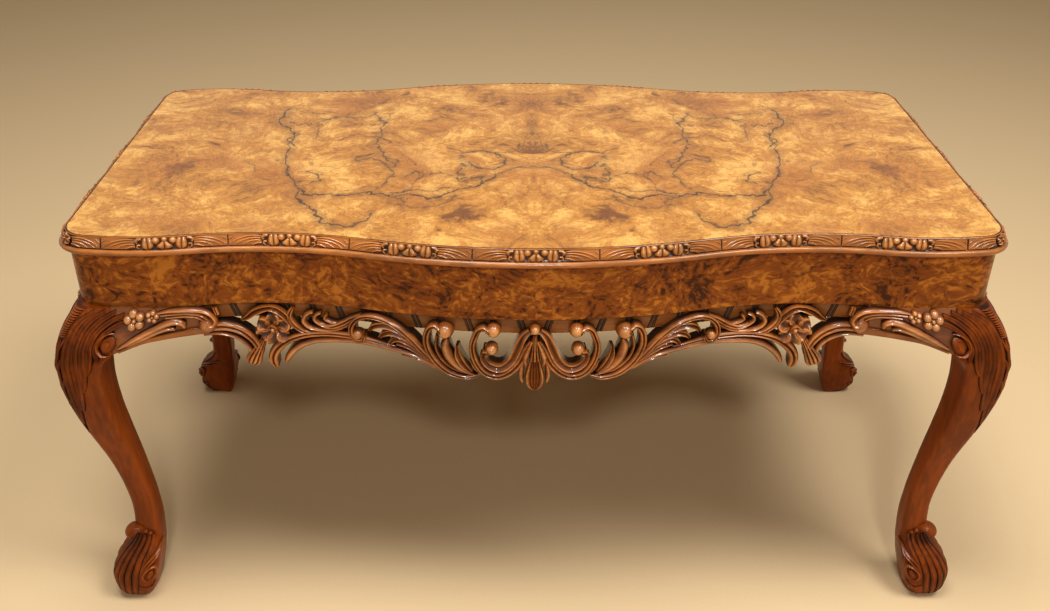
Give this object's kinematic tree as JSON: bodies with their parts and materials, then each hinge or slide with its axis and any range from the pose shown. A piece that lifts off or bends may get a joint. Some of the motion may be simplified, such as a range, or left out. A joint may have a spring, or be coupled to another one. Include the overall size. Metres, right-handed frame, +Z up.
{
  "type": "coffee table",
  "caption": "Low rectangular table with a serpentine burr walnut top, carved edge, veneered frieze, pierced carved apron and cabriole legs on scroll feet.",
  "frame": {"origin": "on the floor, under the middle of the top", "axes": "+X along the long side, +Z up, the front side faces -Y"},
  "size_m": [1.0942, 0.535, 0.522],
  "materials": {
    "burr_top": "polished burr walnut veneer, golden, with dark swirled veins",
    "burr_frieze": "polished burr walnut veneer, darker brown",
    "carved_edge": "carved and polished walnut with dark recesses",
    "carved_walnut": "carved and polished walnut, worn on the high points",
    "leg_walnut": "satin polished walnut",
    "band_walnut": "polished walnut with cut flutes",
    "core_board": "bare board",
    "rail_timber": "bare sawn timber, aged",
    "dowel_beech": "bare turned dowel",
    "screw_steel": "dull countersunk steel"
  },
  "bodies": {
    "root": {"apron_back": "carved_walnut", "apron_front": "carved_walnut", "apron_left": "carved_walnut", "apron_right": "carved_walnut", "band_back": "band_walnut", "band_front": "band_walnut", "band_left": "band_walnut", "band_right": "band_walnut", "corner_block_back_left": "rail_timber", "corner_block_back_right": "rail_timber", "corner_block_front_left": "rail_timber", "corner_block_front_right": "rail_timber", "corner_brace_back_left": "rail_timber", "corner_brace_back_right": "rail_timber", "corner_brace_front_left": "rail_timber", "corner_brace_front_right": "rail_timber", "edge_moulding_back": "carved_edge", "edge_moulding_front": "carved_edge", "edge_moulding_left": "carved_edge", "edge_moulding_right": "carved_edge", "frieze_rail_back": "rail_timber", "frieze_rail_front": "rail_timber", "frieze_rail_left": "rail_timber", "frieze_rail_right": "rail_timber", "frieze_veneer_back_left": "burr_frieze", "frieze_veneer_back_right": "burr_frieze", "frieze_veneer_corner_back_left": "burr_frieze", "frieze_veneer_corner_back_right": "burr_frieze", "frieze_veneer_corner_front_left": "burr_frieze", "frieze_veneer_corner_front_right": "burr_frieze", "frieze_veneer_front_left": "burr_frieze", "frieze_veneer_front_right": "burr_frieze", "frieze_veneer_left": "burr_frieze", "frieze_veneer_right": "burr_frieze", "glue_blocks": "rail_timber", "knee_bracket_long_back_left": "carved_walnut", "knee_bracket_long_back_right": "carved_walnut", "knee_bracket_long_front_left": "carved_walnut", "knee_bracket_long_front_right": "carved_walnut", "knee_bracket_short_back_left": "carved_walnut", "knee_bracket_short_back_right": "carved_walnut", "knee_bracket_short_front_left": "carved_walnut", "knee_bracket_short_front_right": "carved_walnut", "leg_back_left": "leg_walnut", "leg_back_right": "leg_walnut", "leg_dowels": "dowel_beech", "leg_front_left": "leg_walnut", "leg_front_right": "leg_walnut", "rail_dowels": "dowel_beech", "top_core": "core_board", "top_screws": "screw_steel", "top_veneer_left": "burr_top", "top_veneer_right": "burr_top"}
  },
  "joints": []
}
